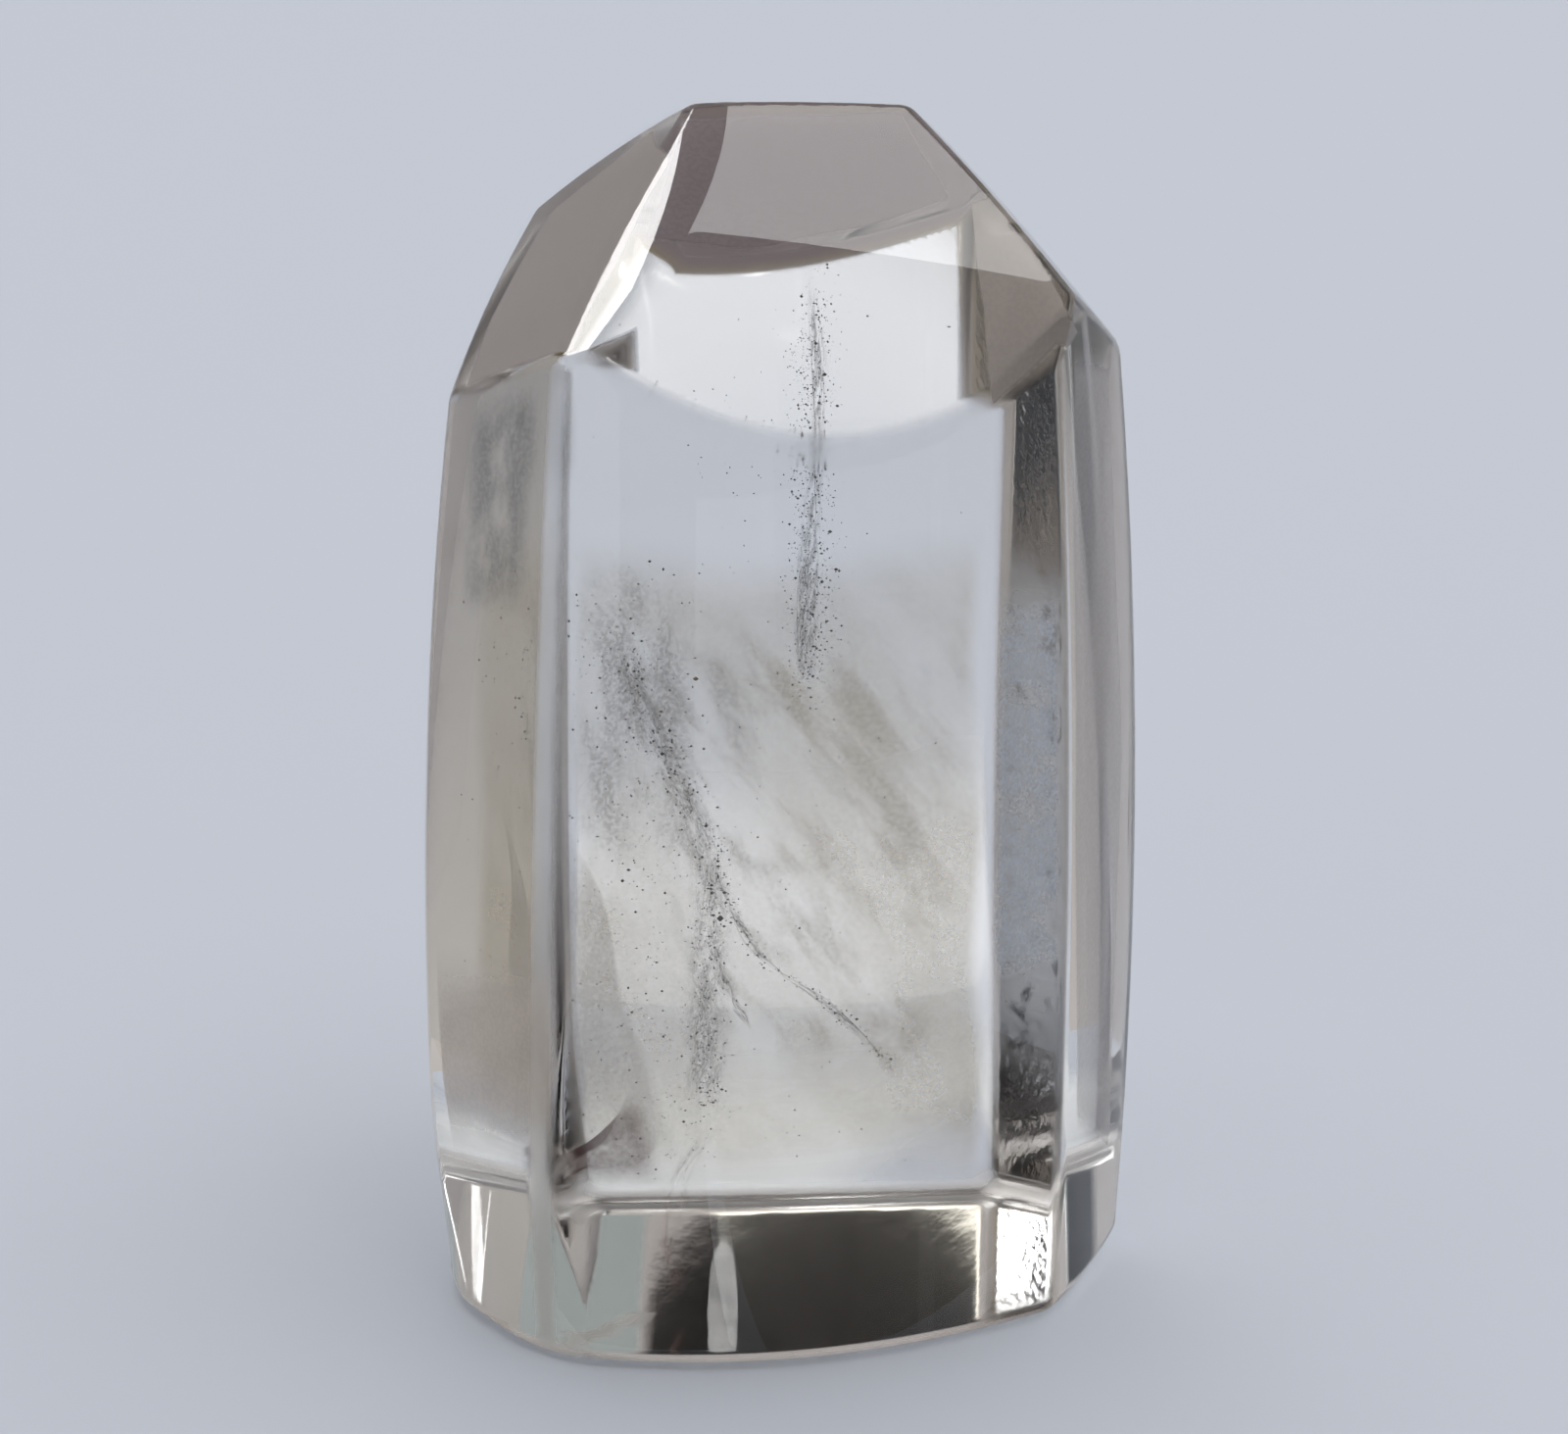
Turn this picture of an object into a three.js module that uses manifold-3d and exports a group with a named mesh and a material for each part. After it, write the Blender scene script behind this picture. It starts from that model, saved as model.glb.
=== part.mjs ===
// Clear quartz point with a polished tip and a flat ground base, as one solid.
// Millimetres, +Z up. The origin is under the middle of the crystal, on the surface it rests on.
// A bearing is the compass direction that a face looks in, seen from above: 0 is -Y, 90 is +X.
import * as THREE from 'three';
import { mergeVertices } from 'three/addons/utils/BufferGeometryUtils.js';
import Module from 'manifold-3d';

const wasm = await Module();
wasm.setup();

// Where the axis of the prism stands, so that the crystal's outline is centred on the origin.
const AXIS_X = -0.66;
const AXIS_Y = -0.61;

// Each face was lapped by hand, so it is a shallow crown, highest at one place and falling away
// by the two radii. Across runs level along the face, and along runs up the face.
// The six prism faces: reach is the distance from the axis at CROWN_HEIGHT, lean tips the face
// back from upright, and shift moves its highest place sideways.
const CROWN_HEIGHT = 13;
const PRISM_FACES = [
  { bearing: 1.6, reach: 7.65, lean: 3.9, shift: -1.8, across: 15.8, along: 126 },
  { bearing: 62.5, reach: 9.15, lean: 2.7, shift: 0, across: 24, along: 185 },
  { bearing: 130.4, reach: 8.82, lean: 0.2, shift: 0, across: 27, along: 143 },
  { bearing: 187.7, reach: 9.23, lean: 1.3, shift: 0.6, across: 14.2, along: 77 },
  { bearing: 249.2, reach: 7.82, lean: 0, shift: 0, across: 27, along: 128 },
  { bearing: 308.1, reach: 8.98, lean: 3.1, shift: 0, across: 27, along: 154 },
];

// The four facets of the tip: slope is the angle of the facet's normal above level, and the
// highest place of its crown is out from the axis by reach, at the given height.
const TIP_FACETS = [
  { bearing: 14.1, slope: 35.7, reach: 4.5, height: 27.45, across: 95, along: 22.5 },
  { bearing: 283, slope: 39.9, reach: 6, height: 27.75, across: 41, along: 78 },
  { bearing: 188.6, slope: 43.3, reach: 4.5, height: 28.05, across: 100, along: 35 },
  { bearing: 100.9, slope: 41.2, reach: 6.5, height: 28.7, across: 59, along: 61 },
];

// The base is ground flat, and its rim is broken at 45 degrees.
const BASE_RIM = 0.5;

// Each cutting block is far larger than the crystal, and only its top face shapes it.
const BLOCK_WIDTH = 36;
const BLOCK_LENGTH = 84;
const BLOCK_DEPTH = 60;
const STEP_ACROSS = 1.5;
const STEP_ALONG = 2.4;

const radians = THREE.MathUtils.degToRad;

function asSolid(geometry) {
  geometry.deleteAttribute('normal');
  geometry.deleteAttribute('uv');
  const merged = mergeVertices(geometry);
  const mesh = new wasm.Mesh({
    numProp: 3,
    vertProperties: new Float32Array(merged.attributes.position.array),
    triVerts: new Uint32Array(merged.index.array),
  });
  return new wasm.Manifold(mesh);
}

function asGeometry(solid) {
  const mesh = solid.getMesh();
  const geometry = new THREE.BufferGeometry();
  geometry.setAttribute('position', new THREE.BufferAttribute(new Float32Array(mesh.vertProperties), 3));
  geometry.setIndex(new THREE.BufferAttribute(new Uint32Array(mesh.triVerts), 1));
  geometry.computeVertexNormals();
  return geometry;
}

// The direction out of the crystal for a bearing, level with the table.
function outward(bearing) {
  return new THREE.Vector3(Math.sin(radians(bearing)), -Math.cos(radians(bearing)), 0);
}

// A block whose crowned top face looks along the bearing, tipped up by slope degrees,
// with the highest place of the crown at apex.
function crownedBlock(bearing, slope, apex, across, along, stepAlong = STEP_ALONG) {
  const geometry = new THREE.BoxGeometry(
    BLOCK_WIDTH, BLOCK_LENGTH, BLOCK_DEPTH,
    Math.round(BLOCK_WIDTH / STEP_ACROSS), Math.round(BLOCK_LENGTH / stepAlong), 1,
  );
  const position = geometry.attributes.position;
  for (let i = 0; i < position.count; i += 1) {
    const u = position.getX(i);
    const v = position.getY(i);
    if (position.getZ(i) > 0) {
      position.setZ(i, -(u * u) / (2 * across) - (v * v) / (2 * along));
    } else {
      position.setZ(i, -BLOCK_DEPTH);
    }
  }
  const level = new THREE.Vector3(Math.cos(radians(bearing)), Math.sin(radians(bearing)), 0);
  const normal = outward(bearing).multiplyScalar(Math.cos(radians(slope)));
  normal.z = Math.sin(radians(slope));
  const upFace = new THREE.Vector3().crossVectors(normal, level);
  const placed = new THREE.Matrix4().makeBasis(level, upFace, normal).setPosition(apex);
  geometry.applyMatrix4(placed);
  return asSolid(geometry);
}

function prismBlock(face) {
  const apex = outward(face.bearing).multiplyScalar(face.reach);
  apex.addScaledVector(outward(face.bearing + 90), face.shift);
  apex.add(new THREE.Vector3(AXIS_X, AXIS_Y, CROWN_HEIGHT));
  return crownedBlock(face.bearing, face.lean, apex, face.across, face.along);
}

function tipBlock(facet) {
  const apex = outward(facet.bearing).multiplyScalar(facet.reach);
  apex.add(new THREE.Vector3(AXIS_X, AXIS_Y, facet.height));
  return crownedBlock(facet.bearing, facet.slope, apex, facet.across, facet.along);
}

// The block that breaks the rim under one prism face. It follows the crown of that face.
function rimBlock(face) {
  const spread = CROWN_HEIGHT * Math.tan(radians(face.lean));
  const fall = CROWN_HEIGHT ** 2 / (2 * face.along);
  const reachAtBase = face.reach + spread - fall;
  const apex = outward(face.bearing).multiplyScalar(reachAtBase - BASE_RIM / 2);
  apex.addScaledVector(outward(face.bearing + 90), face.shift);
  apex.add(new THREE.Vector3(AXIS_X, AXIS_Y, BASE_RIM / 2));
  const flatAlong = 1e6;
  return crownedBlock(face.bearing, -45, apex, face.across * Math.SQRT2, flatAlong, BLOCK_LENGTH);
}

// The half space above the base plane, as a block.
function baseBlock() {
  const geometry = new THREE.BoxGeometry(BLOCK_WIDTH, BLOCK_WIDTH, BLOCK_DEPTH);
  geometry.translate(0, 0, BLOCK_DEPTH / 2);
  return asSolid(geometry);
}

function crystalGeometry() {
  let solid = baseBlock();
  for (const face of PRISM_FACES) {
    solid = solid.intersect(prismBlock(face));
    solid = solid.intersect(rimBlock(face));
  }
  for (const facet of TIP_FACETS) {
    solid = solid.intersect(tipBlock(facet));
  }
  return asGeometry(solid);
}

const quartz = new THREE.MeshStandardMaterial({ color: '#d9dcda', roughness: 0.05, metalness: 0 });

const crystal = new THREE.Mesh(crystalGeometry(), quartz);
crystal.name = 'crystal';

const model = new THREE.Group();
model.add(crystal);

export default model;
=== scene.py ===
import math
import bpy
import numpy as np
from mathutils import Matrix, Vector


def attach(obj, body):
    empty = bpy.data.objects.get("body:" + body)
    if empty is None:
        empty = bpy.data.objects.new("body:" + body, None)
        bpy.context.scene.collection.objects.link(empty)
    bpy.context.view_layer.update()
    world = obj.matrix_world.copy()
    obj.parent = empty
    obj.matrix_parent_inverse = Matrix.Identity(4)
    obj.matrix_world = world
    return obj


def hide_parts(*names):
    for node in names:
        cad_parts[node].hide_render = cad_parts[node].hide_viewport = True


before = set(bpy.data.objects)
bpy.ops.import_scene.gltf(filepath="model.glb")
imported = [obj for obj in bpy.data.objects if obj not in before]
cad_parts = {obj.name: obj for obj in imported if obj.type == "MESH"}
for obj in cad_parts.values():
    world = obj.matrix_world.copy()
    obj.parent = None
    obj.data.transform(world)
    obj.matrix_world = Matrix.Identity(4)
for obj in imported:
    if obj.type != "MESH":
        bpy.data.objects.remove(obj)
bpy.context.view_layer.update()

MM = 0.001

# Lapped faces, the same values as the CAD part's, in millimetres and degrees.
# bearing: the direction the face looks in, 0 is -Y and 90 is +X; slope: its normal above level;
# reach, shift, height: where the crown is highest; across, along: the crown's two radii.
AXIS = (-0.66, -0.61)
CROWN_HEIGHT = 13.0
PRISM_FACES = (
    dict(bearing=1.6, reach=7.65, slope=3.9, shift=-1.8, across=15.8, along=126.0),
    dict(bearing=62.5, reach=9.15, slope=2.7, shift=0.0, across=24.0, along=185.0),
    dict(bearing=130.4, reach=8.82, slope=0.2, shift=0.0, across=27.0, along=143.0),
    dict(bearing=187.7, reach=9.23, slope=1.3, shift=0.6, across=14.2, along=77.0),
    dict(bearing=249.2, reach=7.82, slope=0.0, shift=0.0, across=27.0, along=128.0),
    dict(bearing=308.1, reach=8.98, slope=3.1, shift=0.0, across=27.0, along=154.0),
)
TIP_FACETS = (
    dict(bearing=14.1, reach=4.5, slope=35.7, height=27.45, across=95.0, along=22.5),
    dict(bearing=283.0, reach=6.0, slope=39.9, height=27.75, across=41.0, along=78.0),
    dict(bearing=188.6, reach=4.5, slope=43.3, height=28.05, across=100.0, along=35.0),
    dict(bearing=100.9, reach=6.5, slope=41.2, height=28.7, across=59.0, along=61.0),
)
FRONT, REAR_RIGHT, FRONT_LEFT, FRONT_TIP, LEFT_TIP = 0, 2, 5, 6, 7

# A small bevel lapped on the edge between the front and left tip facets.
TIP_BEVEL = dict(bearing=340.5, slope=49.5, apex=(-3.84, -4.19, 29.27), across=12.0, along=200.0)
BEVEL_BLEND = 0.22

# How far edges are rolled: crisp above, worn round low on the left, and the rim of the base.
EDGE_ROUND = 0.15
WORN_ROUND = 0.9
RIM_ROUND = 0.55

# Shallow shell-shaped chips: where the scoop is centred, in mm, and its radius.
CHIPS = (
    dict(centre=(-5.55, -6.75, 27.75), radius=0.75),
    dict(centre=(4.75, 7.05, 22.60), radius=0.62),
)


def hex_linear(code):
    """An sRGB hex colour, turned to the linear colour that shaders read."""
    parts = [int(code[i:i + 2], 16) / 255 for i in (1, 3, 5)]
    return tuple(c / 12.92 if c <= 0.04045 else ((c + 0.055) / 1.055) ** 2.4 for c in parts)


# The polished shape of the stone

def crown(bearing, slope, apex, across, along):
    """One lapped face as arrays: its frame, its highest place and its two half curvatures."""
    a, e = math.radians(bearing), math.radians(slope)
    level = np.array([math.cos(a), math.sin(a), 0.0])
    normal = np.array([math.sin(a) * math.cos(e), -math.cos(a) * math.cos(e), math.sin(e)])
    return dict(normal=normal, level=level, up=np.cross(normal, level), apex=np.array(apex),
                bend_across=0.5 / across, bend_along=0.5 / along)


def face_crowns():
    crowns = []
    for f in PRISM_FACES:
        a = math.radians(f["bearing"])
        apex = (AXIS[0] + math.sin(a) * f["reach"] + math.cos(a) * f["shift"],
                AXIS[1] - math.cos(a) * f["reach"] + math.sin(a) * f["shift"], CROWN_HEIGHT)
        crowns.append(crown(f["bearing"], f["slope"], apex, f["across"], f["along"]))
    for f in TIP_FACETS:
        a = math.radians(f["bearing"])
        apex = (AXIS[0] + math.sin(a) * f["reach"], AXIS[1] - math.cos(a) * f["reach"], f["height"])
        crowns.append(crown(f["bearing"], f["slope"], apex, f["across"], f["along"]))
    return crowns


CROWNS = face_crowns()
BEVEL = crown(TIP_BEVEL["bearing"], TIP_BEVEL["slope"], TIP_BEVEL["apex"], TIP_BEVEL["across"],
              TIP_BEVEL["along"])


def above_face(c, points):
    """How far each point stands out of one lapped face."""
    q = points - c["apex"]
    return q @ c["normal"] + c["bend_across"] * (q @ c["level"]) ** 2 + c["bend_along"] * (q @ c["up"]) ** 2


def rounded_meet(distances, radius):
    """Several faces met with a rounded edge."""
    over = sum(np.maximum(d + radius, 0.0) ** 2 for d in distances)
    return np.where(over > 0, np.sqrt(over) - radius, np.max(distances, axis=0))


def ease(values, start, end):
    """0 before start and 1 after end, with a soft turn at both."""
    t = np.clip((values - start) / (end - start), 0.0, 1.0)
    return t * t * (3 - 2 * t)


def edge_radius(points):
    worn = ease(points[:, 2], 6.0, 0.5) * ease(points[:, 0], -2.5, -6.0)
    return EDGE_ROUND + (WORN_ROUND - EDGE_ROUND) * worn


def above_faces(points):
    """How far each point stands out of every face, the base last."""
    distances = [above_face(c, points) for c in CROWNS]
    distances[FRONT_TIP] = rounded_meet([distances[FRONT_TIP], above_face(BEVEL, points)], BEVEL_BLEND)
    return distances + [-points[:, 2]]


def above_stone(points):
    """How far each point, in mm, stands out of the polished stone: 0 is its surface."""
    distances = above_faces(points)
    sides = rounded_meet(distances[:-1], edge_radius(points))
    field = rounded_meet([sides, distances[-1]], RIM_ROUND)
    for chip in CHIPS:
        away = np.linalg.norm(points - np.array(chip["centre"]), axis=1)
        ripple = 0.01 * np.sin(points[:, 2] * 38.0)
        field = np.maximum(field, chip["radius"] + ripple - away)
    return field


def slope_of(field, points, step=0.004):
    """The outward direction of a field, unscaled, by small differences."""
    parts = []
    for axis in range(3):
        nudge = np.zeros(3)
        nudge[axis] = step
        parts.append((field(points + nudge) - field(points - nudge)) / (2 * step))
    return np.stack(parts, axis=1)


def settle(field, points, rounds=4):
    """Moves points onto the surface of a field."""
    for _ in range(rounds):
        g = slope_of(field, points)
        points = points - g * (field(points) / np.maximum((g * g).sum(1), 1e-6))[:, None]
    return points


def vertices_mm(mesh):
    co = np.empty(len(mesh.vertices) * 3)
    mesh.vertices.foreach_get("co", co)
    return co.reshape(-1, 3) / MM


def set_vertices_mm(mesh, points):
    mesh.vertices.foreach_set("co", (points * MM).ravel())
    mesh.update()


def alone(obj):
    bpy.ops.object.select_all(action="DESELECT")
    obj.select_set(True)
    bpy.context.view_layer.objects.active = obj


def apply_modifier(obj, kind, **settings):
    alone(obj)
    m = obj.modifiers.new(kind.title(), kind)
    for key, value in settings.items():
        setattr(m, key, value)
    bpy.ops.object.modifier_apply(modifier=m.name)


def face_share(distances, index):
    """1 on one face and 0 on the others, with a short soft step at its edges."""
    others = np.max([d for i, d in enumerate(distances) if i != index], axis=0)
    return ease(distances[index] - others, 0.0, 0.25)


def edge_share(distances):
    """1 along the edges, fading over a quarter of a millimetre."""
    two = np.sort(np.array(distances), axis=0)[-2:]
    return 1 - ease(two[1] - two[0], 0.02, 0.25)


def rubbed_share(distances):
    """1 along the rim of the base and the edge left of the front face, where rubbing dulled them."""
    sides = np.sort(np.array(distances[:-1]), axis=0)
    rim = 1 - ease(np.abs(sides[-1] - distances[-1]), 0.1, 0.8)
    front_left = 1 - ease(np.abs(distances[FRONT] - distances[FRONT_LEFT]), 0.1, 0.35)
    top_two = ease(sides[-2] - np.minimum(distances[FRONT], distances[FRONT_LEFT]), 0.02, 0.0)
    return np.maximum(rim, front_left * top_two)


def add_share(mesh, name, values):
    mesh.attributes.new(name, "FLOAT", "POINT").data.foreach_set("value", values.astype(np.float32))


def polished_stone():
    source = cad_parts["crystal"]
    stone = bpy.data.objects.new("quartz_point", source.data.copy())
    bpy.context.collection.objects.link(stone)
    alone(stone)
    bpy.ops.object.mode_set(mode="EDIT")
    bpy.ops.mesh.select_all(action="SELECT")
    bpy.ops.mesh.remove_doubles(threshold=1e-6)
    bpy.ops.object.mode_set(mode="OBJECT")
    apply_modifier(stone, "REMESH", mode="VOXEL", voxel_size=0.11 * MM)
    set_vertices_mm(stone.data, settle(above_stone, vertices_mm(stone.data)))
    faces = len(stone.data.polygons) * 2
    apply_modifier(stone, "DECIMATE", ratio=min(1.0, 170000 / faces))
    points = settle(above_stone, vertices_mm(stone.data))
    set_vertices_mm(stone.data, points)
    g = slope_of(above_stone, points)
    bpy.ops.object.shade_smooth()
    stone.data.normals_split_custom_set_from_vertices((g / np.linalg.norm(g, axis=1)[:, None]).tolist())
    distances = above_faces(points)
    add_share(stone.data, "worn_edge", edge_share(distances))
    add_share(stone.data, "ground_base", face_share(distances, len(distances) - 1))
    add_share(stone.data, "rubbed_edge", rubbed_share(distances))
    add_share(stone.data, "left_tip", face_share(distances, LEFT_TIP))
    add_share(stone.data, "frosted_side", face_share(distances, REAR_RIGHT))
    return stone


# Places inside the stone, named by where the photograph shows them

CAMERA_DISTANCE = 130.0
CAMERA_TILT = 22.06
CAMERA_ROLL = 0.94
CAMERA_AIM = (-0.10, -0.61, 15.3)
PHOTO_SIZE_PX = (1600, 1463)
FOCAL_PX = 5000
SENSOR_WIDTH = 36.0
QUARTZ_IOR = 1.55


def camera_axes():
    """The camera's right, up and backward directions."""
    tilt, roll = math.radians(CAMERA_TILT), math.radians(CAMERA_ROLL)
    back = Vector((0, -math.cos(tilt), math.sin(tilt)))
    right = Vector((1, 0, 0))
    up = back.cross(right)
    return right * math.cos(roll) + up * math.sin(roll), up * math.cos(roll) - right * math.sin(roll), back


def inside_stone(pixels, depths):
    """Places in mm that lie at these depths in the stone, seen at these pixels of the photograph."""
    right, up, back = (np.array(v) for v in camera_axes())
    pixels = np.array(pixels, float)
    eye = np.array(CAMERA_AIM) + back * CAMERA_DISTANCE
    aside = (pixels[:, 0] - PHOTO_SIZE_PX[0] / 2) / FOCAL_PX
    above = (PHOTO_SIZE_PX[1] / 2 - pixels[:, 1]) / FOCAL_PX
    look = aside[:, None] * right + above[:, None] * up - back
    look /= np.linalg.norm(look, axis=1)[:, None]
    places = eye + look * (CAMERA_DISTANCE - 30.0)
    for _ in range(30):
        closing = -(slope_of(above_stone, places) * look).sum(1)
        places = places + look * (above_stone(places) / np.maximum(closing, 0.1))[:, None]
    normal = slope_of(above_stone, places)
    normal /= np.linalg.norm(normal, axis=1)[:, None]
    facing = -(look * normal).sum(1)
    into = np.sqrt(1 - (1 - facing ** 2) / QUARTZ_IOR ** 2)
    bent = look / QUARTZ_IOR + (facing / QUARTZ_IOR - into)[:, None] * normal
    return places + bent * np.asarray(depths, float).reshape(-1, 1)


def along_route(route, count):
    """Points spread evenly along a route and smoothed."""
    route = np.array(route, float)
    gone = np.concatenate([[0], np.cumsum(np.linalg.norm(np.diff(route, axis=0), axis=1))])
    at = np.linspace(0, gone[-1], count)
    even = np.stack([np.interp(at, gone, route[:, k]) for k in range(route.shape[1])], axis=1)
    for _ in range(3):
        even[1:-1] = (even[:-2] + 2 * even[1:-1] + even[2:]) / 4
    return even


# Inclusions, and sheets that carry painted light and shade. A sheet has this many grid faces each way and
# stays this far in mm above the base.

ALONG, ACROSS = 70, 24
LOWEST_SHEET = 0.2


def veil(name, near, far, material, ripple=0.15, seed=1):
    """A healed fracture, and also each sheet that carries painted light and shade: a thin wavy sheet between
    two routes in the stone, in mm.
    """
    bpy.ops.object.select_all(action="DESELECT")
    bpy.ops.mesh.primitive_grid_add(x_subdivisions=ACROSS, y_subdivisions=ALONG, size=2)
    sheet = bpy.context.object
    sheet.name = name
    flat = vertices_mm(sheet.data) * MM
    across, along = (flat[:, 0] + 1) / 2, (flat[:, 1] + 1) / 2
    steps = np.linspace(0, 1, len(near))
    start = np.stack([np.interp(along, steps, near[:, k]) for k in range(3)], axis=1)
    end = np.stack([np.interp(along, steps, far[:, k]) for k in range(3)], axis=1)
    places = start + (end - start) * across[:, None]
    draw = np.random.default_rng(seed)
    for _ in range(4):
        tone = draw.uniform(2, 9, 2)
        turn = draw.uniform(0, 6.28)
        way = draw.normal(size=3)
        wave = np.sin(tone[0] * across + tone[1] * along * 2 + turn)
        places += ripple / 4 * wave[:, None] * way
    places[:, 2] = np.maximum(places[:, 2], LOWEST_SHEET)
    set_vertices_mm(sheet.data, places)
    sheet.data.materials.append(material)
    bpy.ops.object.shade_smooth()
    return sheet


def drawn_veil(name, route, near, far, material, ripple=0.15, seed=1):
    """A veil along a route of pixels. near and far give its two edges: pixels aside and depth in mm."""
    pixels = along_route(route, 40)
    edges = [inside_stone(pixels + np.array([aside, 0]), np.full(40, depth)) for aside, depth in (near, far)]
    return veil(name, edges[0], edges[1], material, ripple, seed)


def broad_veil(name, left, right, depths, material, ripple=0.3, seed=1):
    """A veil that fills the space between two routes of pixels, each at its own depth in mm."""
    edges = [inside_stone(along_route(r, 40), np.full(40, d)) for r, d in zip((left, right), depths)]
    return veil(name, edges[0], edges[1], material, ripple, seed)


def flecks(name, places, sizes, material, seed=1):
    """Tiny crooked grains at these places, joined in one mesh."""
    corners = np.array([(1, 0, 0), (-1, 0, 0), (0, 1, 0), (0, -1, 0), (0, 0, 1), (0, 0, -1)], float)
    sides = np.array([(0, 2, 4), (2, 1, 4), (1, 3, 4), (3, 0, 4),
                      (2, 0, 5), (1, 2, 5), (3, 1, 5), (0, 3, 5)])
    draw = np.random.default_rng(seed)
    count = len(places)
    stretch = draw.uniform(0.35, 1.6, (count, 1, 3)) * np.asarray(sizes).reshape(-1, 1, 1)
    points = places[:, None, :] + corners[None] * stretch
    faces = sides[None] + 6 * np.arange(count)[:, None, None]
    mesh = bpy.data.meshes.new(name)
    mesh.from_pydata((points.reshape(-1, 3) * MM).tolist(), [], faces.reshape(-1, 3).tolist())
    grains = bpy.data.objects.new(name, mesh)
    bpy.context.collection.objects.link(grains)
    mesh.materials.append(material)
    return grains


def strewn(route, count, spread_px, depths, seed):
    """Places strewn about a route of pixels, between two depths."""
    draw = np.random.default_rng(seed)
    pixels = along_route(route, count) + draw.normal(0, 1, (count, 2)) * np.array(spread_px)
    return inside_stone(pixels, draw.uniform(depths[0], depths[1], count))


# Materials

def new_material(name):
    m = bpy.data.materials.new(name)
    m.use_nodes = True
    m.node_tree.nodes.clear()
    return m


def add_node(material, kind, links=None, **settings):
    """Adds one node: settings name its properties or input sockets, links name sockets to join."""
    tree = material.node_tree
    n = tree.nodes.new(kind)
    for key, value in settings.items():
        if hasattr(n, key):
            setattr(n, key, value)
        else:
            n.inputs[key.replace("_", " ")].default_value = value
    for key, source in (links or {}).items():
        tree.links.new(source, n.inputs[key])
    return n


def per_mm(size):
    """The texture scale whose features are about this many millimetres wide."""
    return 1 / (size * MM)


def combine(m, first, second, **settings):
    """Two values, each a socket or a number, joined by one maths operation."""
    n = add_node(m, "ShaderNodeMath", **settings)
    for slot, value in enumerate((first, second)):
        if isinstance(value, (int, float)):
            n.inputs[slot].default_value = value
        else:
            m.node_tree.links.new(value, n.inputs[slot])
    return n.outputs[0]


def times(m, first, second):
    return combine(m, first, second, operation="MULTIPLY")


def plus(m, first, second):
    return combine(m, first, second, operation="ADD", use_clamp=True)


def soft_step(m, value, start, end):
    """0 before start and 1 after end, with a soft turn at both."""
    n = add_node(m, "ShaderNodeMapRange", {"Value": value}, interpolation_type="SMOOTHSTEP", From_Min=start,
                 From_Max=end)
    return n.outputs[0]


def thinned(m, sheet, fade):
    """1 in the middle of a sheet and 0 at its borders: fade is how far in its sides and ends thin out."""
    thin = 1.0
    for axis, depth in (("X", fade[0]), ("Y", fade[1])):
        if depth > 0:
            thin = times(m, thin, soft_step(m, sheet.outputs[axis], 0.0, depth))
            thin = times(m, thin, soft_step(m, sheet.outputs[axis], 1.0, 1.0 - depth))
    return thin


def rock_crystal():
    """Clear quartz, hand lapped. The faces shine like water. Worn edges, the left tip facet and, very
    slightly, the base are dull, and the rim and the edge left of the front face are rubbed, so that
    they catch a soft grey line. The rear right side keeps its frosted growth skin, which glimmers
    through the stone. The absorption gives thick quartz its faint warm grey."""
    m = new_material("rock crystal quartz, lapped and polished")
    place = add_node(m, "ShaderNodeTexCoord").outputs["Object"]
    height = add_node(m, "ShaderNodeSeparateXYZ", {"Vector": place}).outputs["Z"]
    worn, base, tip, frost, rubbed = (
        add_node(m, "ShaderNodeAttribute", attribute_name=name).outputs["Fac"]
        for name in ("worn_edge", "ground_base", "left_tip", "frosted_side", "rubbed_edge"))
    skin = add_node(m, "ShaderNodeTexNoise", {"Vector": place}, Scale=per_mm(0.7), Detail=4.0)
    frost_low = soft_step(m, height, 1.5 * MM, 8.0 * MM)
    frost_high = soft_step(m, height, 20.0 * MM, 15.0 * MM)
    frosted = times(m, times(m, frost, times(m, frost_low, frost_high)),
                    soft_step(m, skin.outputs["Fac"], 0.2, 0.5))
    dull = plus(m, plus(m, times(m, worn, 0.16), times(m, base, 0.03)),
                plus(m, times(m, tip, 0.2), times(m, rubbed, 0.32)))
    rough = plus(m, plus(m, dull, times(m, frosted, 0.42)), 0.01)
    combed = add_node(m, "ShaderNodeMapping", {"Vector": place}, Scale=(1, 0.25, 1))
    laps = add_node(m, "ShaderNodeTexNoise", {"Vector": combed.outputs[0]}, Scale=per_mm(0.7), Detail=3.0)
    pits = add_node(m, "ShaderNodeTexNoise", {"Vector": place}, Scale=per_mm(0.28), Detail=3.0)
    uneven = plus(m, times(m, laps.outputs["Fac"], times(m, base, 0.2)),
                  times(m, pits.outputs["Fac"], times(m, frost, 0.4)))
    skin_bump = add_node(m, "ShaderNodeBump", {"Height": uneven}, Strength=1.0, Distance=0.015 * MM)
    glass = add_node(m, "ShaderNodeBsdfPrincipled", {"Roughness": rough, "Normal": skin_bump.outputs[0]},
                     Base_Color=(1, 1, 1, 1), IOR=QUARTZ_IOR, Transmission_Weight=1.0)
    clear = add_node(m, "ShaderNodeVolumeAbsorption", Color=(0.60, 0.55, 0.46, 1), Density=4.0)
    add_node(m, "ShaderNodeOutputMaterial", {"Surface": glass.outputs[0], "Volume": clear.outputs[0]})
    return m


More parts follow.
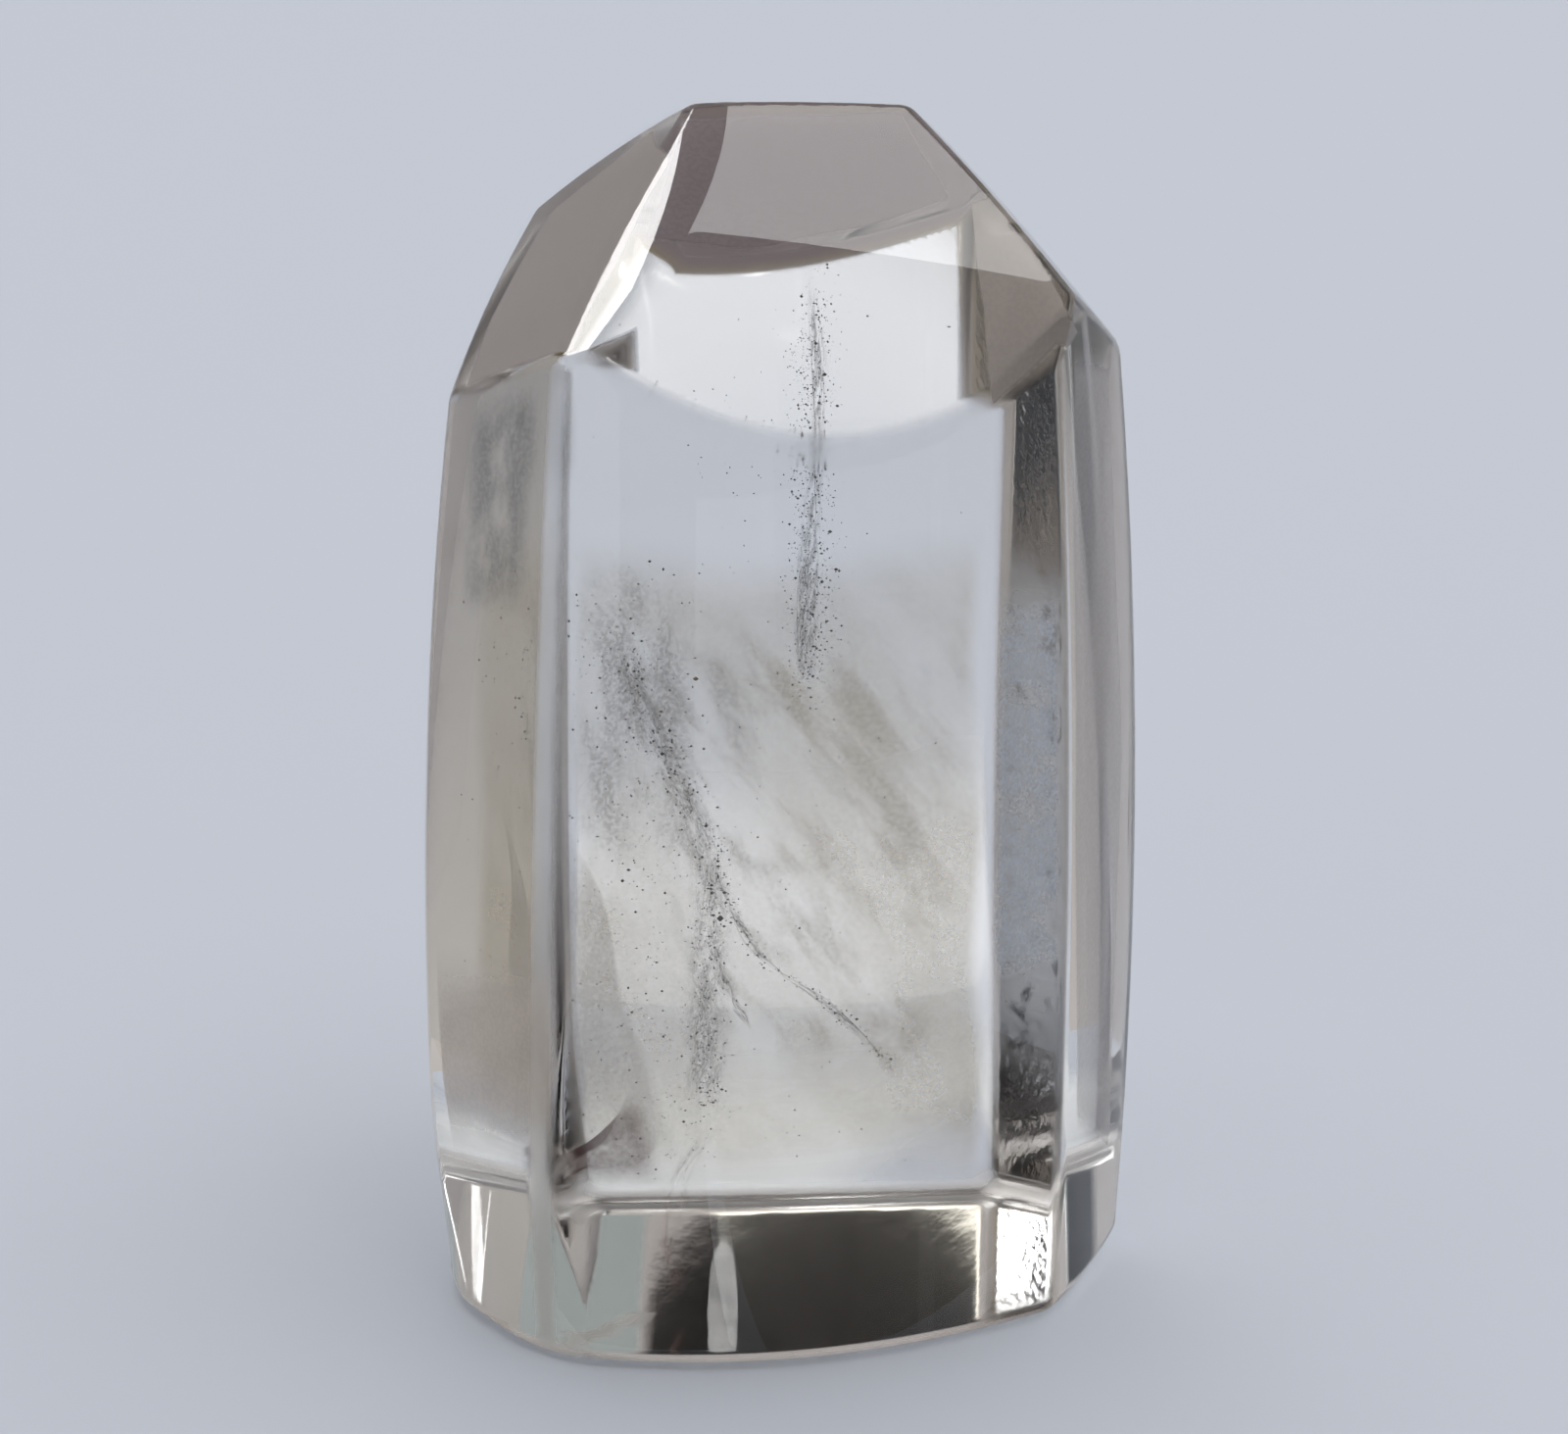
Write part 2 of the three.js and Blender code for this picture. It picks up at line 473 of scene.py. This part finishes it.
def fracture_and_painted_tone_film(name, colour, strength, cloud, patchy=(0.38, 0.62), fade=(0.5, 0.1), grain=0.12,
                    dots=0.6, stretch=(1, 1, 1), turn=(0, 0, 0)):
    """A film of tiny fluid drops along a healed crack: a cloudy, patchy veil that dims what is behind. The
    same film, near opaque and in flat tones, also makes the sheets that paint light and shade into parts of
    the stone.
    cloud and grain are the widths in mm of its patches and drops, patchy is where in the noise they
    start and fill, and dots is how far the drops break them up. fade is how far in its sides and ends
    thin out, and stretch and turn draw the patches out along one way."""
    m = new_material(name)
    coordinates = add_node(m, "ShaderNodeTexCoord")
    sheet = add_node(m, "ShaderNodeSeparateXYZ", {"Vector": coordinates.outputs["UV"]})
    thin = thinned(m, sheet, fade)
    turned = add_node(m, "ShaderNodeMapping", {"Vector": coordinates.outputs["Object"]},
                      vector_type="TEXTURE", Rotation=[math.radians(a) for a in turn], Scale=stretch)
    patches = add_node(m, "ShaderNodeTexNoise", {"Vector": turned.outputs[0]}, Scale=per_mm(cloud),
                       Detail=5.0)
    drops = add_node(m, "ShaderNodeTexNoise", {"Vector": coordinates.outputs["Object"]},
                     Scale=per_mm(grain), Detail=2.0)
    cover = soft_step(m, patches.outputs["Fac"], patchy[0], patchy[1])
    dotted = plus(m, times(m, soft_step(m, drops.outputs["Fac"], 0.4, 0.6), dots), 1.0 - dots)
    alpha = times(m, times(m, thin, strength), times(m, cover, dotted))
    film = add_node(m, "ShaderNodeBsdfPrincipled", {"Alpha": alpha}, Base_Color=hex_linear(colour) + (1,),
                    Roughness=0.9, Specular_IOR_Level=0.0)
    add_node(m, "ShaderNodeOutputMaterial", {"Surface": film.outputs[0]})
    return m


def mineral_grain(name, colour):
    """Specks of chlorite and iron oxide, dull and nearly black at this size."""
    m = new_material(name)
    place = add_node(m, "ShaderNodeTexCoord").outputs["Object"]
    tone = add_node(m, "ShaderNodeTexNoise", {"Vector": place}, Scale=per_mm(0.5))
    shade = add_node(m, "ShaderNodeMix", {"Factor": tone.outputs["Fac"]}, data_type="RGBA")
    shade.inputs[6].default_value = tuple(c * 0.5 for c in hex_linear(colour)) + (1,)
    shade.inputs[7].default_value = hex_linear(colour) + (1,)
    grain = add_node(m, "ShaderNodeBsdfPrincipled", {"Base Color": shade.outputs[2]}, Roughness=0.7)
    add_node(m, "ShaderNodeOutputMaterial", {"Surface": grain.outputs[0]})
    return m


# The stage, its light and the camera

def matte_paint(name, colour):
    m = new_material(name)
    paint = add_node(m, "ShaderNodeBsdfPrincipled", Base_Color=hex_linear(colour) + (1,), Roughness=0.9,
                     Specular_IOR_Level=0.0)
    add_node(m, "ShaderNodeOutputMaterial", {"Surface": paint.outputs[0]})
    return m


def add_table():
    bpy.ops.object.select_all(action="DESELECT")
    bpy.ops.mesh.primitive_circle_add(vertices=96, radius=1.5, fill_type="NGON", location=(0, 0, -0.00004))
    table = bpy.context.object
    table.name = "pale_table"
    bpy.ops.object.transform_apply(location=True, rotation=True, scale=True)
    table.data.materials.append(matte_paint("matte pale table", "#c8d0dc"))


# How high cards lie in mm: on the table, and as a pad just under the base.
LYING = -0.02
PAD = -0.01


def card_paint(name, low, high, fade, glow):
    """Paint, or a glow, from a low to a high colour, with sides and ends that thin out over fade."""
    m = new_material(name)
    sheet = add_node(m, "ShaderNodeSeparateXYZ", {"Vector": add_node(m, "ShaderNodeTexCoord").outputs["UV"]})
    thin = thinned(m, sheet, fade)
    shade = add_node(m, "ShaderNodeMix", {"Factor": sheet.outputs["Y"]}, data_type="RGBA")
    shade.inputs[6].default_value = hex_linear(low) + (1,)
    shade.inputs[7].default_value = hex_linear(high) + (1,)
    if glow:
        paint = add_node(m, "ShaderNodeBsdfPrincipled", {"Emission Color": shade.outputs[2]},
                         Base_Color=(0, 0, 0, 1), Specular_IOR_Level=0.0, Emission_Strength=1.0)
    else:
        paint = add_node(m, "ShaderNodeBsdfPrincipled", {"Base Color": shade.outputs[2]}, Roughness=0.9,
                         Specular_IOR_Level=0.0)
    if thin != 1.0:
        m.node_tree.links.new(thin, paint.inputs["Alpha"])
    add_node(m, "ShaderNodeOutputMaterial", {"Surface": paint.outputs[0]})
    return m


def add_card(name, corners, low, high=None, fade=(0, 0), glow=False):
    """A card of the studio kit that only the stone's refraction shows. Its corners in mm go round from
    low left, and its paint, or its glow, runs from a low to a high colour."""
    bpy.ops.object.select_all(action="DESELECT")
    bpy.ops.mesh.primitive_plane_add(size=2)
    card = bpy.context.object
    card.name = name
    by_corner = {(-1, -1): 0, (1, -1): 1, (1, 1): 2, (-1, 1): 3}
    for v in card.data.vertices:
        v.co = Vector(corners[by_corner[round(v.co.x), round(v.co.y)]]) * MM
    card.data.materials.append(card_paint(name, low, high or low, fade, glow))
    card.visible_camera = False
    card.visible_shadow = False
    card.visible_diffuse = False


def lying_card(name, sides, depths, low, high=None, fade=(0, 0)):
    """A card that lies on the table: sides is its left and right ends, depths its near and far ones."""
    corners = [(x, y, LYING) for x, y in ((sides[0], depths[0]), (sides[1], depths[0]),
                                          (sides[1], depths[1]), (sides[0], depths[1]))]
    add_card(name, corners, low, high, fade)


def standing_card(name, bearing, reach, sides, heights, low, high=None, fade=(0, 0), glow=False):
    """A card that stands behind the stone and faces its axis: sides is its left and right ends."""
    a = math.radians(bearing)
    out = Vector((math.sin(a), -math.cos(a), 0)) * reach + Vector(AXIS + (0.0,))
    aside = Vector((math.cos(a), math.sin(a), 0))
    ends = [out + aside * s for s in sides]
    corners = [ends[0] + Vector((0, 0, heights[0])), ends[1] + Vector((0, 0, heights[0])),
               ends[1] + Vector((0, 0, heights[1])), ends[0] + Vector((0, 0, heights[1]))]
    add_card(name, corners, low, high, fade, glow)


def far_card(name, aways, ups, low, high=None, fade=(0, 0), distance=500.0):
    """A far card that fills these angles seen from the stone."""
    corners = [from_bearing(a, u, distance) for a, u in ((aways[0], ups[0]), (aways[1], ups[0]),
                                                         (aways[1], ups[1]), (aways[0], ups[1]))]
    add_card(name, corners, low, high, fade)


def from_bearing(away, up, distance):
    """A place seen from the stone: away is degrees from straight behind it, to the right."""
    a, e = math.radians(away), math.radians(up)
    return Vector((math.sin(a) * math.cos(e), math.cos(a) * math.cos(e), math.sin(e))) * distance


def add_softbox(name, away, up, width, height, radiance, colour="#ffffff", distance=0.6, seen_in="all",
                shape="RECTANGLE"):
    """A soft light that faces the stone: width and height are the angles that it fills. It lights
    everything, or only what is matte, or only shows in the stone's gloss."""
    light = bpy.data.lights.new(name, "AREA")
    light.shape = shape
    light.size = 2 * distance * math.tan(math.radians(width / 2))
    light.size_y = 2 * distance * math.tan(math.radians(height / 2))
    light.energy = radiance * math.pi * light.size * light.size_y
    light.color = hex_linear(colour)
    lamp = bpy.data.objects.new(name, light)
    bpy.context.collection.objects.link(lamp)
    lamp.location = from_bearing(away, up, distance)
    lamp.rotation_euler = (-Vector(lamp.location)).to_track_quat("-Z", "Y").to_euler()
    lamp.visible_diffuse = seen_in != "gloss"
    lamp.visible_glossy = seen_in != "matte"
    lamp.visible_transmission = seen_in != "matte"
    return lamp


def add_world():
    world = bpy.data.worlds.new("soft room")
    bpy.context.scene.world = world
    world.use_nodes = True
    world.node_tree.nodes["Background"].inputs["Color"].default_value = hex_linear("#aca6a3") + (1,)
    world.node_tree.nodes["Background"].inputs["Strength"].default_value = 1.0


def add_camera():
    turned_right, turned_up, back = camera_axes()
    data = bpy.data.cameras.new("camera")
    data.sensor_width = SENSOR_WIDTH
    data.lens = FOCAL_PX / PHOTO_SIZE_PX[0] * SENSOR_WIDTH
    data.clip_start = 0.005
    camera = bpy.data.objects.new("camera", data)
    bpy.context.collection.objects.link(camera)
    place = (Vector(CAMERA_AIM) + back * CAMERA_DISTANCE) * MM
    turn = Matrix((turned_right, turned_up, back)).transposed().to_4x4()
    camera.matrix_world = Matrix.Translation(place) @ turn
    bpy.context.scene.camera = camera


add_camera()
add_table()
add_world()
bpy.context.scene.view_settings.view_transform = "Standard"

# A wide overhead light for the table and cards, softboxes upper left and upper right, a strip
# light low behind, and one over the camera.
add_softbox("overhead light", away=20, up=80, width=70, height=60, radiance=1.6, seen_in="matte")
add_softbox("left softbox", away=-108, up=66, width=24, height=24, radiance=14.0, seen_in="gloss")
add_softbox("right softbox", away=100, up=68, width=30, height=24, radiance=4.0, seen_in="gloss")
add_softbox("rear strip", away=-18, up=37, width=32, height=10, radiance=1.15, colour="#fffbe8",
            seen_in="gloss")
add_softbox("front softbox", away=171.5, up=45, width=5, height=14, radiance=8.0, seen_in="gloss",
            shape="ELLIPSE")

# Cards: pale ones lying behind the stone, glowing grey ones standing close behind its rear edges, a
# dim glowing pad under its base, and far ones that are black low behind it and behind the camera.
lying_card("white card", (-10, 3), (12, 36), "#f2f8ff", fade=(0.25, 0.45))
lying_card("near white card", (-5.5, 1), (2, 20), "#eef4f8", fade=(0.3, 0.45))
standing_card("warm grey card", 130.4, 12.0, (4.6, 9.8), (0, 20), "#b2ada6", "#8a8887",
              fade=(0.04, 0.0), glow=True)
standing_card("grey card", 249.2, 11.0, (-12.5, -6.5), (0, 18), "#bdb5b0", "#a5a3a2", fade=(0.04, 0.0),
              glow=True)
lying_card("lying grey card", (2.2, 9), (8.6, 16), "#c8c2ba")
lying_card("front grey card", (0, 24), (-26, -8.2), "#a8a5a4")
add_card("glowing pad", ((-8, -7, PAD), (8, -7, PAD), (8, 8, PAD), (-8, 8, PAD)), "#6b6264", glow=True)
lying_card("front black card", (-16, -1), (-60, -9.5), "#101216")
add_card("front black flag", ((-16, -60, 0), (-1, -60, 0), (-1, -60, 27), (-16, -60, 27)), "#101216")
far_card("rear black flag", (-33, 9.5), (24, 33.0), "#0c0d10", fade=(0.05, 0.09))
far_card("rear grey card", (8.5, 75), (24, 37.5), "#cbd5ce", fade=(0.03, 0.0))
far_card("high grey card", (25, 78), (37.5, 50), "#7c7877")
far_card("black card behind the camera", (134, 193), (1, 38), "#1c1c1e")

cycles = bpy.context.scene.cycles
cycles.max_bounces = 20
cycles.transmission_bounces = 20
cycles.transparent_max_bounces = 32

stone = polished_stone()
stone.data.materials.clear()
stone.data.materials.append(rock_crystal())
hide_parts("crystal")

# Where the photograph shows the inclusions and the sheets of painted light and shade, in its pixels: a route
# for each drawn veil, and a first and a second route for each broad one.
MAIN_VEIL_PX = ((637, 650), (665, 730), (690, 790), (712, 830), (728, 890), (727, 960), (722, 1040),
                (722, 1140))
BRANCH_PX = ((730, 885), (750, 930), (770, 970), (800, 995), (835, 1015), (880, 1055), (912, 1090))
LOW_BRANCH_PX = ((728, 965), (742, 1005), (765, 1050))
LEFT_HAZE_PX = (((578, 560), (578, 700), (578, 900)), ((700, 560), (715, 700), (735, 900)))
WARM_HAZE_PX = (((572, 540), (570, 800), (575, 1215)), ((1006, 540), (1008, 800), (1006, 1215)))
WISP_PX = (((600, 600), (640, 800), (700, 1100)), ((1000, 600), (1000, 800), (960, 1150)))
SHOULDER_PX = (((990, 205), (1000, 300), (1012, 418)), ((1022, 205), (1064, 265), (1102, 340)))
LEFT_SHOULDER_PX = (((668, 130), (560, 218), (524, 278), (497, 332), (474, 398)),
                    ((684, 162), (662, 204), (641, 246), (608, 306), (584, 362)))
FRONT_SHOULDER_PX = (((696, 120), (800, 114), (920, 112)), ((650, 246), (765, 258), (880, 236), (976, 204)))
RIGHT_SIDE_PX = (((1094, 345), (1094, 700), (1098, 1160)), ((1132, 352), (1147, 760), (1132, 1196)))
PAINTED_FOOT_PX = (((444, 960), (449, 1090), (464, 1184)), ((562, 960), (563, 1090), (566, 1192)))
UPPER_SHADE_PX = (((472, 404), (468, 520), (466, 640)), ((556, 374), (558, 500), (560, 640)))
GLIMMER_PX = (((1016, 590), (1014, 800), (1012, 1020)), ((1084, 590), (1086, 800), (1086, 1020)))
LOW_SHADE_PX = (((566, 820), (566, 1000), (566, 1212)), ((570, 820), (630, 960), (700, 1212)))
PURPLE_PATCH_PX = (((536, 1172), (560, 1190), (592, 1208)), ((654, 1106), (676, 1150), (683, 1208)))
PLUME_PX = ((716, 1150), (700, 1190), (687, 1223), (682, 1270), (692, 1328))

veil_film = fracture_and_painted_tone_film("healed fracture, grey fluid drops", "#6c6960", 0.55, cloud=0.8,
                            patchy=(0.25, 0.6))
branch_film = fracture_and_painted_tone_film("healed fracture, thin grey drops", "#4a463e", 0.8, cloud=0.7)
streak_film = fracture_and_painted_tone_film("healed fracture, dark drops", "#5c5e5c", 0.7, cloud=0.5, patchy=(0.35, 0.6),
                              fade=(0.4, 0.1))
haze_film = fracture_and_painted_tone_film("milky growth haze, straw tinted", "#d4c28e", 0.5, cloud=4.5,
                            patchy=(0.05, 0.75), fade=(0.06, 0.12), dots=0.1, stretch=(1, 1, 2.5),
                            turn=(0, -35, 0))
wisp_film = fracture_and_painted_tone_film("milky growth wisps", "#9a8f70", 0.45, cloud=0.8, patchy=(0.42, 0.7),
                            fade=(0.15, 0.2), dots=0.3, stretch=(1, 1, 6), turn=(0, -35, 0))
# Painted light: an opaque pale sheet that paints the right shoulder of the front tip facet one even grey.
shoulder_film = fracture_and_painted_tone_film("painted light, right shoulder", "#aea69f", 1.0, cloud=6.0, patchy=(0.0, 0.3),
                                fade=(0.03, 0.03), dots=0.05)
# Painted shade: a nearly opaque dark sheet that dims the top of the front tip facet to an even grey.
front_shoulder_film = fracture_and_painted_tone_film("painted shade, front shoulder", "#857b7d", 0.9, cloud=5.0,
                                      patchy=(0.0, 0.25), fade=(0.05, 0.03), dots=0.1)
# Painted light: a pale sheet that lightens the dark bands along the right side of the stone.
right_side_film = fracture_and_painted_tone_film("painted light, right side", "#d3cdcb", 0.6, cloud=3.0, patchy=(0.0, 0.4),
                                  fade=(0.08, 0.05), dots=0.1)
# Painted light and shade: a nearly opaque sheet that paints the left tip facet one even grey over the light
# and dark bands seen through it.
left_shoulder_film = fracture_and_painted_tone_film("painted light and shade, left shoulder", "#a39d9b", 0.97, cloud=5.0,
                                     patchy=(0.0, 0.2), fade=(0.02, 0.02), dots=0.02)
# Painted light: a pale sheet that lightens the lower left foot of the stone.
foot_film = fracture_and_painted_tone_film("painted light, foot", "#dcd2c6", 0.85, cloud=2.5, patchy=(0.0, 0.3),
                            fade=(0.03, 0.35), dots=0.1)
# Painted shade: a dark mottled sheet that darkens the upper part of the front left face.
upper_shade_film = fracture_and_painted_tone_film("painted shade, upper left", "#6a6d70", 0.6, cloud=1.0, patchy=(0.25, 0.6),
                                   fade=(0.3, 0.2), dots=0.3, stretch=(1, 1, 2))
# Painted glimmer: a blue white sheet just inside the frosted rear right face.
glimmer_film = fracture_and_painted_tone_film("painted glimmer, blue white", "#e4f0ff", 0.8, cloud=0.8, patchy=(0.2, 0.6),
                             fade=(0.12, 0.15), dots=0.5, stretch=(3, 3, 1), turn=(0, 30, 0))
left_film = fracture_and_painted_tone_film("feathery growth haze, grey", "#9b998f", 0.45, cloud=1.0, patchy=(0.35, 0.62),
                            fade=(0.25, 0.2), stretch=(1, 1, 3), turn=(0, -12, 0))
# Painted shade: a mottled sheet that darkens the lower left, beside the edge left of the front face.
shade_film = fracture_and_painted_tone_film("painted shade, lower left", "#958a7d", 0.35, cloud=1.8, patchy=(0.05, 0.5),
                             fade=(0.12, 0.3), dots=0.25)
# A purple-brown patch, low on the left.
purple_patch_film = fracture_and_painted_tone_film("purple brown patch", "#7d555b", 0.6, cloud=1.1, patchy=(0.05, 0.4),
                             fade=(0.25, 0.25), dots=0.15)
plume_film = fracture_and_painted_tone_film("iron tinted plume", "#a98a86", 0.6, cloud=0.8, fade=(0.5, 0.2))

inclusions_and_painted_films = [
    drawn_veil("main_veil", MAIN_VEIL_PX, (-30, 4.0), (26, 8.0), veil_film, ripple=0.06, seed=3),
    drawn_veil("veil_branch", BRANCH_PX, (-7, 5.0), (5, 8.0), branch_film, ripple=0.08, seed=4),
    drawn_veil("veil_low_branch", LOW_BRANCH_PX, (-6, 5.0), (6, 8.0), branch_film, ripple=0.08, seed=5),
    broad_veil("straw_haze", *WARM_HAZE_PX, (9.5, 6.0), haze_film, seed=6),
    broad_veil("haze_wisps", *WISP_PX, (7.0, 10.0), wisp_film, seed=12),
    # Painted light: the right shoulder of the front tip facet.
    broad_veil("painted_light_right_shoulder", *SHOULDER_PX, (0.5, 0.5), shoulder_film, ripple=0.05, seed=13),
    # Painted shade: the top of the front tip facet.
    broad_veil("front_shoulder", *FRONT_SHOULDER_PX, (0.5, 0.5), front_shoulder_film, ripple=0.05, seed=18),
    # Painted light: the right side of the stone.
    broad_veil("painted_light_right_side", *RIGHT_SIDE_PX, (0.5, 0.5), right_side_film, ripple=0.05, seed=19),
    # Painted light and shade: the left tip facet.
    broad_veil("left_shoulder", *LEFT_SHOULDER_PX, (0.5, 0.5), left_shoulder_film, ripple=0.05, seed=14),
    # Painted light: the lower left foot.
    broad_veil("painted_light_foot", *PAINTED_FOOT_PX, (0.8, 0.8), foot_film, ripple=0.05, seed=15),
    # Painted shade: the upper part of the front left face.
    broad_veil("upper_shade", *UPPER_SHADE_PX, (3.0, 3.0), upper_shade_film, ripple=0.05, seed=17),
    # Painted glimmer: inside the frosted rear right face.
    broad_veil("painted_glimmer", *GLIMMER_PX, (1.2, 1.2), glimmer_film, ripple=0.05, seed=16),
    broad_veil("left_feathers", *LEFT_HAZE_PX, (5.0, 8.0), left_film, seed=7),
    # Painted shade: the lower left.
    broad_veil("low_shade", *LOW_SHADE_PX, (5.0, 7.0), shade_film, seed=8),
    # A purple-brown patch, low on the left.
    broad_veil("purple_brown_patch", *PURPLE_PATCH_PX, (4.0, 5.0), purple_patch_film, seed=9),
    drawn_veil("iron_plume", PLUME_PX, (-14, 4.0), (14, 7.0), plume_film, seed=10),
]

# The dark streak hangs under the tip: places across and up, its half width and its near and far sides.
STREAK_MM = ((0.35, 26.2), (0.15, 23.0), (0.0, 20.0), (-0.2, 17.2))
STREAK_HALF_WIDTH = 0.45
STREAK_SIDES = (-3.6, 2.0)
STREAK_GRAINS = 1200

streak = along_route(STREAK_MM, 40)
edges = [np.stack([streak[:, 0] + aside, np.full(40, side), streak[:, 1]], axis=1)
         for aside, side in zip((STREAK_HALF_WIDTH, -STREAK_HALF_WIDTH), STREAK_SIDES)]
inclusions_and_painted_films.append(veil("dark_streak", edges[0], edges[1], streak_film, ripple=0.12, seed=11))

# Dark grains lie along the streak and the veils, with a few more strewn about. The natural logarithm
# of their sizes in mm has this mean and this spread, so most are about 0.015 mm.
GRAIN_SIZE = (-4.2, 0.4)

dark_grain = mineral_grain("dark mineral grains", "#4a4a46")
draw = np.random.default_rng(21)
beside = np.stack([np.interp(draw.uniform(17, 26, STREAK_GRAINS), streak[::-1, 1], streak[::-1, 0]),
                   draw.uniform(-4, 2.5, STREAK_GRAINS), draw.uniform(17, 26, STREAK_GRAINS)], axis=1)
beside[:, 0] += draw.normal(0, 0.2, STREAK_GRAINS)
specks = np.concatenate([
    beside,
    strewn(MAIN_VEIL_PX, 900, (11, 8), (3.5, 9.0), 22),
    strewn(BRANCH_PX, 260, (4, 4), (5.0, 8.0), 23),
    strewn(((640, 600), (650, 900), (670, 1180)), 700, (38, 20), (2.0, 12.0), 24),
    strewn(((790, 300), (790, 1200)), 260, (80, 10), (2.0, 12.0), 25),
])
sizes = draw.lognormal(*GRAIN_SIZE, len(specks))
inclusions_and_painted_films.append(flecks("dark_specks", specks, sizes, dark_grain, seed=26))

for piece in [stone] + inclusions_and_painted_films:
    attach(piece, "root")
